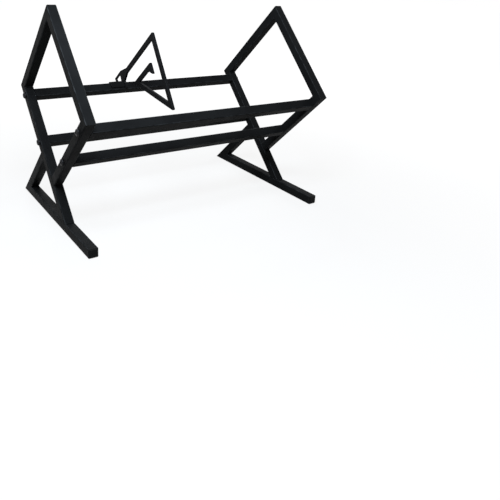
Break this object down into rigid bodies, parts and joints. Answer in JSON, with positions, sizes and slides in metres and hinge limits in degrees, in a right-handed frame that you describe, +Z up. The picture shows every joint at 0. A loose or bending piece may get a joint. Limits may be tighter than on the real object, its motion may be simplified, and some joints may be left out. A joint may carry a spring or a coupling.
{
  "type": "record rack",
  "caption": "Tabletop record rack of square steel tube: welded end frames joined by rails that form a V trough, with a flat plate bookend that slides along the rear upper rail.",
  "frame": {"origin": "on the floor under the middle of the base bars, half way between the end frames", "axes": "+Z up, X along the rails, the trough's open front edge and the base bars' capped ends towards -Y"},
  "size_m": [0.4366, 0.2928, 0.3292],
  "materials": {
    "frame_paint": "satin black powder coat",
    "rail_paint": "satin black powder coat",
    "bookend_paint": "satin black powder coat",
    "bolt_black": "black oxide",
    "block_steel": "zinc plated",
    "cap_plastic": "matte black"
  },
  "bodies": {
    "rack": {"left_rear_roof_tube": "frame_paint", "left_front_roof_tube": "frame_paint", "left_front_tray_tube": "frame_paint", "left_back_leg_tube": "frame_paint", "left_foot_strut": "frame_paint", "left_base_tube": "frame_paint", "right_rear_roof_tube": "frame_paint", "right_front_roof_tube": "frame_paint", "right_front_tray_tube": "frame_paint", "right_back_leg_tube": "frame_paint", "right_foot_strut": "frame_paint", "right_base_tube": "frame_paint", "rail_back_upper": "rail_paint", "rail_back_lower": "rail_paint", "rail_front_upper": "rail_paint", "rail_front_lower": "rail_paint", "rail_back_upper_blocks": "block_steel", "rail_back_lower_blocks": "block_steel", "rail_front_upper_blocks": "block_steel", "rail_front_lower_blocks": "block_steel", "left_bolts": "bolt_black", "right_bolts": "bolt_black", "left_end_cap": "cap_plastic", "right_end_cap": "cap_plastic"},
    "bookend": {"bookend_plate": "bookend_paint", "bookend_saddle": "bookend_paint"}
  },
  "joints": [
    {"name": "bookend_slide", "type": "slide", "parent": "rack", "child": "bookend", "axis": [1, 0, 0], "range_m": [-0.1345, 0.2343]}
  ]
}
